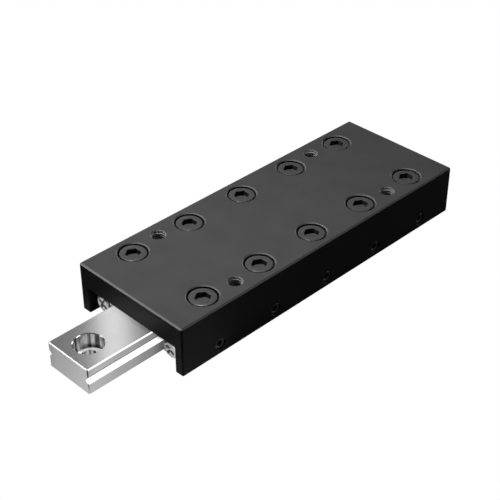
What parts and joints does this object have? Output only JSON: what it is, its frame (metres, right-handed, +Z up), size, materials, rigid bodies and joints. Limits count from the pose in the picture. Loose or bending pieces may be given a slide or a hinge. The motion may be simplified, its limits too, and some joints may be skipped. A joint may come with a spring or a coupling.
{
  "type": "linear guide carriage",
  "caption": "Low crossed-roller slide: an upside-down U carriage runs on a V-grooved steel rail, with cap screws on top, tapped load holes and side preload screws.",
  "frame": {"origin": "middle of the base rail's underside", "axes": "+X along the travel, from the rail's bare end into the carriage; +Y to the left side; +Z up, out of the carriage's top"},
  "size_m": [0.0944, 0.0296, 0.0115],
  "materials": {
    "black_anodised": "black anodised, fine satin",
    "ground_steel": "fine ground",
    "black_oxide": "black oxide",
    "bright_plated": "bright plated",
    "set_screw_steel": "bright turned",
    "pin_steel": "ground dowel",
    "cage_brass": "stamped strip",
    "roller_steel": "polished"
  },
  "bodies": {
    "base": {"base_rail": "ground_steel"},
    "carriage": {"carriage_body": "black_anodised", "stop_pin": "pin_steel", "left_outer_rail": "ground_steel", "right_outer_rail": "ground_steel", "left_cap_screw_1": "black_oxide", "left_cap_screw_2": "black_oxide", "left_cap_screw_3": "black_oxide", "left_cap_screw_4": "black_oxide", "left_cap_screw_5": "black_oxide", "right_cap_screw_1": "black_oxide", "right_cap_screw_2": "black_oxide", "right_cap_screw_3": "black_oxide", "right_cap_screw_4": "black_oxide", "right_cap_screw_5": "black_oxide", "preload_set_screw_1": "set_screw_steel", "preload_set_screw_2": "set_screw_steel", "preload_set_screw_3": "set_screw_steel", "preload_set_screw_4": "set_screw_steel", "preload_set_screw_5": "set_screw_steel", "front_left_end_screw": "bright_plated", "front_right_end_screw": "bright_plated", "rear_left_end_screw": "bright_plated", "rear_right_end_screw": "bright_plated"},
    "left_cage": {"left_cage": "cage_brass"},
    "right_cage": {"right_cage": "cage_brass"},
    "left_roller_01": {"left_roller_01": "roller_steel"},
    "left_roller_02": {"left_roller_02": "roller_steel"},
    "left_roller_03": {"left_roller_03": "roller_steel"},
    "left_roller_04": {"left_roller_04": "roller_steel"},
    "left_roller_05": {"left_roller_05": "roller_steel"},
    "left_roller_06": {"left_roller_06": "roller_steel"},
    "left_roller_07": {"left_roller_07": "roller_steel"},
    "left_roller_08": {"left_roller_08": "roller_steel"},
    "left_roller_09": {"left_roller_09": "roller_steel"},
    "left_roller_10": {"left_roller_10": "roller_steel"},
    "left_roller_11": {"left_roller_11": "roller_steel"},
    "left_roller_12": {"left_roller_12": "roller_steel"},
    "right_roller_01": {"right_roller_01": "roller_steel"},
    "right_roller_02": {"right_roller_02": "roller_steel"},
    "right_roller_03": {"right_roller_03": "roller_steel"},
    "right_roller_04": {"right_roller_04": "roller_steel"},
    "right_roller_05": {"right_roller_05": "roller_steel"},
    "right_roller_06": {"right_roller_06": "roller_steel"},
    "right_roller_07": {"right_roller_07": "roller_steel"},
    "right_roller_08": {"right_roller_08": "roller_steel"},
    "right_roller_09": {"right_roller_09": "roller_steel"},
    "right_roller_10": {"right_roller_10": "roller_steel"},
    "right_roller_11": {"right_roller_11": "roller_steel"},
    "right_roller_12": {"right_roller_12": "roller_steel"}
  },
  "joints": [
    {"name": "carriage_slide", "type": "slide", "parent": "base", "child": "carriage", "axis": [1, 0, 0], "range_m": [-0.035, 0.005]},
    {"name": "left_cage_slide", "type": "slide", "parent": "base", "child": "left_cage", "axis": [1, 0, 0], "range_m": [-0.0175, 0.0025]},
    {"name": "right_cage_slide", "type": "slide", "parent": "base", "child": "right_cage", "axis": [1, 0, 0], "range_m": [-0.0175, 0.0025]},
    {"name": "left_roller_01_turn", "type": "hinge", "parent": "left_cage", "child": "left_roller_01", "pos_m": [-0.0145, 0.0063, 0.0032], "axis": [0, -0.7071, -0.7071], "range_deg": [-1003, 144]},
    {"name": "left_roller_02_turn", "type": "hinge", "parent": "left_cage", "child": "left_roller_02", "pos_m": [-0.0105, 0.0063, 0.0032], "axis": [0, 0.7071, -0.7071], "range_deg": [-1003, 144]},
    {"name": "left_roller_03_turn", "type": "hinge", "parent": "left_cage", "child": "left_roller_03", "pos_m": [-0.0065, 0.0063, 0.0032], "axis": [0, -0.7071, -0.7071], "range_deg": [-1003, 144]},
    {"name": "left_roller_04_turn", "type": "hinge", "parent": "left_cage", "child": "left_roller_04", "pos_m": [-0.0025, 0.0063, 0.0032], "axis": [0, 0.7071, -0.7071], "range_deg": [-1003, 144]},
    {"name": "left_roller_05_turn", "type": "hinge", "parent": "left_cage", "child": "left_roller_05", "pos_m": [0.0015, 0.0063, 0.0032], "axis": [0, -0.7071, -0.7071], "range_deg": [-1003, 144]},
    {"name": "left_roller_06_turn", "type": "hinge", "parent": "left_cage", "child": "left_roller_06", "pos_m": [0.0055, 0.0063, 0.0032], "axis": [0, 0.7071, -0.7071], "range_deg": [-1003, 144]},
    {"name": "left_roller_07_turn", "type": "hinge", "parent": "left_cage", "child": "left_roller_07", "pos_m": [0.0095, 0.0063, 0.0032], "axis": [0, -0.7071, -0.7071], "range_deg": [-1003, 144]},
    {"name": "left_roller_08_turn", "type": "hinge", "parent": "left_cage", "child": "left_roller_08", "pos_m": [0.0135, 0.0063, 0.0032], "axis": [0, 0.7071, -0.7071], "range_deg": [-1003, 144]},
    {"name": "left_roller_09_turn", "type": "hinge", "parent": "left_cage", "child": "left_roller_09", "pos_m": [0.0175, 0.0063, 0.0032], "axis": [0, -0.7071, -0.7071], "range_deg": [-1003, 144]},
    {"name": "left_roller_10_turn", "type": "hinge", "parent": "left_cage", "child": "left_roller_10", "pos_m": [0.0215, 0.0063, 0.0032], "axis": [0, 0.7071, -0.7071], "range_deg": [-1003, 144]},
    {"name": "left_roller_11_turn", "type": "hinge", "parent": "left_cage", "child": "left_roller_11", "pos_m": [0.0255, 0.0063, 0.0032], "axis": [0, -0.7071, -0.7071], "range_deg": [-1003, 144]},
    {"name": "left_roller_12_turn", "type": "hinge", "parent": "left_cage", "child": "left_roller_12", "pos_m": [0.0295, 0.0063, 0.0032], "axis": [0, 0.7071, -0.7071], "range_deg": [-1003, 144]},
    {"name": "right_roller_01_turn", "type": "hinge", "parent": "right_cage", "child": "right_roller_01", "pos_m": [-0.0145, -0.0063, 0.0032], "axis": [0, 0.7071, 0.7071], "range_deg": [-1003, 144]},
    {"name": "right_roller_02_turn", "type": "hinge", "parent": "right_cage", "child": "right_roller_02", "pos_m": [-0.0105, -0.0063, 0.0032], "axis": [0, -0.7071, 0.7071], "range_deg": [-1003, 144]},
    {"name": "right_roller_03_turn", "type": "hinge", "parent": "right_cage", "child": "right_roller_03", "pos_m": [-0.0065, -0.0063, 0.0032], "axis": [0, 0.7071, 0.7071], "range_deg": [-1003, 144]},
    {"name": "right_roller_04_turn", "type": "hinge", "parent": "right_cage", "child": "right_roller_04", "pos_m": [-0.0025, -0.0063, 0.0032], "axis": [0, -0.7071, 0.7071], "range_deg": [-1003, 144]},
    {"name": "right_roller_05_turn", "type": "hinge", "parent": "right_cage", "child": "right_roller_05", "pos_m": [0.0015, -0.0063, 0.0032], "axis": [0, 0.7071, 0.7071], "range_deg": [-1003, 144]},
    {"name": "right_roller_06_turn", "type": "hinge", "parent": "right_cage", "child": "right_roller_06", "pos_m": [0.0055, -0.0063, 0.0032], "axis": [0, -0.7071, 0.7071], "range_deg": [-1003, 144]},
    {"name": "right_roller_07_turn", "type": "hinge", "parent": "right_cage", "child": "right_roller_07", "pos_m": [0.0095, -0.0063, 0.0032], "axis": [0, 0.7071, 0.7071], "range_deg": [-1003, 144]},
    {"name": "right_roller_08_turn", "type": "hinge", "parent": "right_cage", "child": "right_roller_08", "pos_m": [0.0135, -0.0063, 0.0032], "axis": [0, -0.7071, 0.7071], "range_deg": [-1003, 144]},
    {"name": "right_roller_09_turn", "type": "hinge", "parent": "right_cage", "child": "right_roller_09", "pos_m": [0.0175, -0.0063, 0.0032], "axis": [0, 0.7071, 0.7071], "range_deg": [-1003, 144]},
    {"name": "right_roller_10_turn", "type": "hinge", "parent": "right_cage", "child": "right_roller_10", "pos_m": [0.0215, -0.0063, 0.0032], "axis": [0, -0.7071, 0.7071], "range_deg": [-1003, 144]},
    {"name": "right_roller_11_turn", "type": "hinge", "parent": "right_cage", "child": "right_roller_11", "pos_m": [0.0255, -0.0063, 0.0032], "axis": [0, 0.7071, 0.7071], "range_deg": [-1003, 144]},
    {"name": "right_roller_12_turn", "type": "hinge", "parent": "right_cage", "child": "right_roller_12", "pos_m": [0.0295, -0.0063, 0.0032], "axis": [0, -0.7071, 0.7071], "range_deg": [-1003, 144]}
  ],
  "couplings": [
    {"joint": "left_cage_slide", "follows": "carriage_slide", "ratio": 0.5},
    {"joint": "right_cage_slide", "follows": "carriage_slide", "ratio": 0.5},
    {"joint": "left_roller_01_turn", "follows": "carriage_slide", "rad_per_m": 500},
    {"joint": "left_roller_02_turn", "follows": "carriage_slide", "rad_per_m": 500},
    {"joint": "left_roller_03_turn", "follows": "carriage_slide", "rad_per_m": 500},
    {"joint": "left_roller_04_turn", "follows": "carriage_slide", "rad_per_m": 500},
    {"joint": "left_roller_05_turn", "follows": "carriage_slide", "rad_per_m": 500},
    {"joint": "left_roller_06_turn", "follows": "carriage_slide", "rad_per_m": 500},
    {"joint": "left_roller_07_turn", "follows": "carriage_slide", "rad_per_m": 500},
    {"joint": "left_roller_08_turn", "follows": "carriage_slide", "rad_per_m": 500},
    {"joint": "left_roller_09_turn", "follows": "carriage_slide", "rad_per_m": 500},
    {"joint": "left_roller_10_turn", "follows": "carriage_slide", "rad_per_m": 500},
    {"joint": "left_roller_11_turn", "follows": "carriage_slide", "rad_per_m": 500},
    {"joint": "left_roller_12_turn", "follows": "carriage_slide", "rad_per_m": 500},
    {"joint": "right_roller_01_turn", "follows": "carriage_slide", "rad_per_m": 500},
    {"joint": "right_roller_02_turn", "follows": "carriage_slide", "rad_per_m": 500},
    {"joint": "right_roller_03_turn", "follows": "carriage_slide", "rad_per_m": 500},
    {"joint": "right_roller_04_turn", "follows": "carriage_slide", "rad_per_m": 500},
    {"joint": "right_roller_05_turn", "follows": "carriage_slide", "rad_per_m": 500},
    {"joint": "right_roller_06_turn", "follows": "carriage_slide", "rad_per_m": 500},
    {"joint": "right_roller_07_turn", "follows": "carriage_slide", "rad_per_m": 500},
    {"joint": "right_roller_08_turn", "follows": "carriage_slide", "rad_per_m": 500},
    {"joint": "right_roller_09_turn", "follows": "carriage_slide", "rad_per_m": 500},
    {"joint": "right_roller_10_turn", "follows": "carriage_slide", "rad_per_m": 500},
    {"joint": "right_roller_11_turn", "follows": "carriage_slide", "rad_per_m": 500},
    {"joint": "right_roller_12_turn", "follows": "carriage_slide", "rad_per_m": 500}
  ]
}
